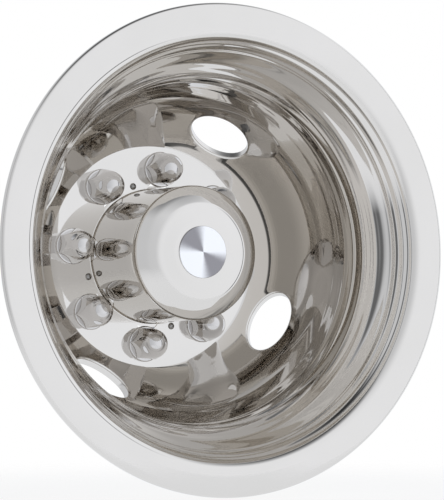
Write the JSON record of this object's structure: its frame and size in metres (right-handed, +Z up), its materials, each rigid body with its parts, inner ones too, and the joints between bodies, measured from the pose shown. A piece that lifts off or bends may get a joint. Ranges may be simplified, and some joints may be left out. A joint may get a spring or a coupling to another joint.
{
  "type": "truck wheel simulator",
  "caption": "Deep-dish stainless wheel simulator for a dual rear truck wheel: flanged liner with oval hand holes, drum-shaped hub cap with plain medallion, and domed hex lug nut covers.",
  "frame": {"origin": "on the wheel's axis, in the plane of the flange's back face, which lies on the rim", "axes": "+Y along the wheel's axis, from the open front towards the wheel; +Z up, +X to the right seen from the front"},
  "size_m": [0.4346, 0.1882, 0.4345],
  "materials": {
    "polished_stainless": "mirror polished",
    "cover_chrome": "mirror polished",
    "brushed_disc": "turned",
    "rivet_steel": "satin",
    "spring_steel": "rolled"
  },
  "bodies": {
    "root": {"wheel_liner": "polished_stainless", "hub_cap": "polished_stainless", "medallion": "brushed_disc", "rivets": "rivet_steel", "lug_nut_cover_1": "cover_chrome", "lug_nut_cover_2": "cover_chrome", "lug_nut_cover_3": "cover_chrome", "lug_nut_cover_4": "cover_chrome", "lug_nut_cover_5": "cover_chrome", "lug_nut_cover_6": "cover_chrome", "lug_nut_cover_7": "cover_chrome", "lug_nut_cover_8": "cover_chrome", "retention_clip_1": "spring_steel", "retention_clip_2": "spring_steel", "retention_clip_3": "spring_steel", "retention_clip_4": "spring_steel"}
  },
  "joints": []
}
